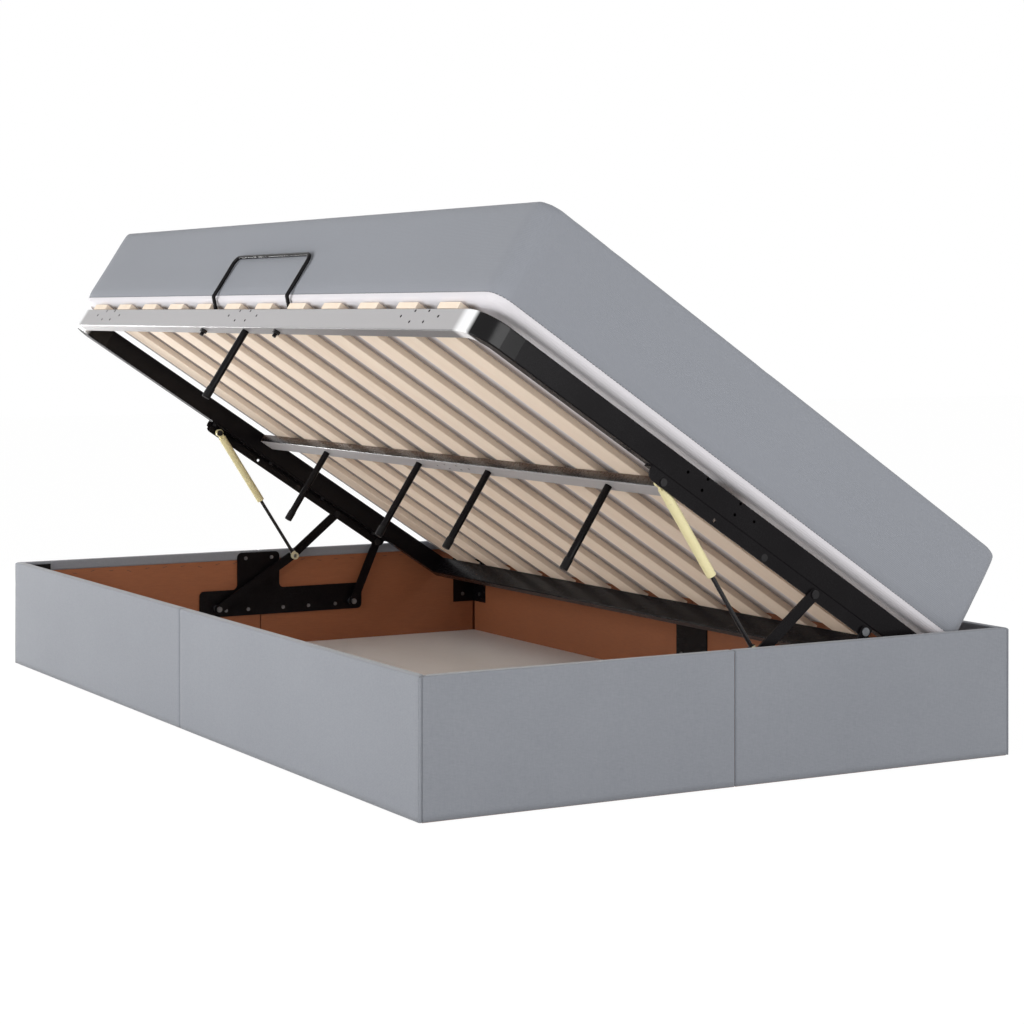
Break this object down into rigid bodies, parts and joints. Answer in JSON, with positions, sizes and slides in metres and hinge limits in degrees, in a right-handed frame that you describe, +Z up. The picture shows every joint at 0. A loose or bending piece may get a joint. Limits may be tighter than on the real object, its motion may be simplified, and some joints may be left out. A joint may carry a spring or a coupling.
{
  "type": "ottoman storage bed",
  "caption": "Fabric-covered storage bed base with a slatted platform and mattress that lift sideways on two linkages with gas struts.",
  "frame": {"origin": "middle of the base on the floor", "axes": "+X along the long sides, -Y towards the side that lifts, +Z up; stored with the platform raised as in the picture"},
  "size_m": [2.06, 1.2631, 1.0257],
  "materials": {
    "panel_board": "matte",
    "grey_fabric": "matte",
    "black_steel": "gloss",
    "zinc_steel": "satin",
    "pale_yellow_paint": "gloss",
    "dark_rod": "gloss",
    "slat_wood": "satin",
    "black_plastic": "matte",
    "mattress_fabric": "matte"
  },
  "bodies": {
    "base": {"front_board_left": "panel_board", "front_board_right": "panel_board", "rear_board_left": "panel_board", "rear_board_right": "panel_board", "left_end_board_front": "panel_board", "left_end_board_rear": "panel_board", "right_end_board_front": "panel_board", "right_end_board_rear": "panel_board", "front_cover_left": "grey_fabric", "front_cover_right": "grey_fabric", "rear_cover_left": "grey_fabric", "rear_cover_right": "grey_fabric", "left_end_cover_front": "grey_fabric", "left_end_cover_rear": "grey_fabric", "right_end_cover_front": "grey_fabric", "right_end_cover_rear": "grey_fabric", "storage_floor": "panel_board", "corner_brackets": "black_steel", "joint_plates": "black_steel", "base_screws": "zinc_steel", "lower_bracket_left": "black_steel", "lower_bracket_right": "black_steel", "lower_link_pins": "zinc_steel"},
    "front_link_right": {"front_link_right": "black_steel", "strut_stud_right": "zinc_steel"},
    "platform": {"frame_front_tube": "black_steel", "frame_left_rail": "black_steel", "frame_right_rail": "black_steel", "frame_rear_tube": "black_steel", "frame_middle_bar": "black_steel", "slat_01": "slat_wood", "slat_02": "slat_wood", "slat_03": "slat_wood", "slat_04": "slat_wood", "slat_05": "slat_wood", "slat_06": "slat_wood", "slat_07": "slat_wood", "slat_08": "slat_wood", "slat_09": "slat_wood", "slat_10": "slat_wood", "slat_11": "slat_wood", "slat_12": "slat_wood", "support_legs": "black_steel", "support_leg_caps": "black_plastic", "upper_bracket_left": "black_steel", "upper_bracket_right": "black_steel", "platform_bolts": "zinc_steel", "upper_link_pins": "zinc_steel", "lift_handle": "black_steel", "mattress": "mattress_fabric"},
    "front_link_left": {"front_link_left": "black_steel", "strut_stud_left": "zinc_steel"},
    "rear_link_right": {"rear_link_right": "black_steel", "rear_link_rivet_right": "zinc_steel"},
    "strut_cylinder_right": {"strut_cylinder_right": "pale_yellow_paint"},
    "strut_rod_right": {"strut_rod_right": "dark_rod"},
    "rear_link_left": {"rear_link_left": "black_steel", "rear_link_rivet_left": "zinc_steel"},
    "strut_cylinder_left": {"strut_cylinder_left": "pale_yellow_paint"},
    "strut_rod_left": {"strut_rod_left": "dark_rod"}
  },
  "joints": [
    {"name": "lift", "type": "hinge", "parent": "base", "child": "front_link_right", "pos_m": [0.9923, -0.12004, 0.101], "axis": [1, 0, 0], "range_deg": [-27.73, 0], "stiffness_Nm_per_rad": 400, "springref_deg": 51.57},
    {"name": "platform_tilt", "type": "hinge", "parent": "front_link_right", "child": "platform", "pos_m": [0.9923, 0.20021, 0.32358], "axis": [1, 0, 0], "range_deg": [0, 61]},
    {"name": "front_link_left_turn", "type": "hinge", "parent": "base", "child": "front_link_left", "pos_m": [-0.9923, -0.12004, 0.101], "axis": [1, 0, 0], "range_deg": [-27.75, 0]},
    {"name": "rear_link_right_turn", "type": "hinge", "parent": "base", "child": "rear_link_right", "pos_m": [0.9923, 0.24953, 0.10019], "axis": [1, 0, 0], "range_deg": [-48.73, 0]},
    {"name": "strut_right_turn", "type": "hinge", "parent": "platform", "child": "strut_cylinder_right", "pos_m": [0.977, -0.12594, 0.53741], "axis": [1, 0, 0], "range_deg": [0, 16.25]},
    {"name": "strut_right_slide", "type": "slide", "parent": "strut_cylinder_right", "child": "strut_rod_right", "axis": [0, 0.5478, -0.8366], "range_m": [-0.13497, 0]},
    {"name": "rear_link_left_turn", "type": "hinge", "parent": "base", "child": "rear_link_left", "pos_m": [-0.9923, 0.24953, 0.10019], "axis": [1, 0, 0], "range_deg": [-48.73, 0]},
    {"name": "strut_left_turn", "type": "hinge", "parent": "platform", "child": "strut_cylinder_left", "pos_m": [-0.977, -0.12594, 0.53741], "axis": [1, 0, 0], "range_deg": [0, 16.25]},
    {"name": "strut_left_slide", "type": "slide", "parent": "strut_cylinder_left", "child": "strut_rod_left", "axis": [0, 0.5478, -0.8366], "range_m": [-0.13497, 0]}
  ],
  "couplings": [
    {"joint": "platform_tilt", "follows": "lift", "ratio": -2.199},
    {"joint": "front_link_left_turn", "follows": "lift", "ratio": 1},
    {"joint": "rear_link_right_turn", "follows": "lift", "ratio": 1.7565},
    {"joint": "strut_right_turn", "follows": "lift", "ratio": -0.58516},
    {"joint": "strut_right_slide", "follows": "lift", "m_per_rad": 0.27825},
    {"joint": "rear_link_left_turn", "follows": "lift", "ratio": 1.7565},
    {"joint": "strut_left_turn", "follows": "lift", "ratio": -0.58516},
    {"joint": "strut_left_slide", "follows": "lift", "m_per_rad": 0.27825}
  ]
}
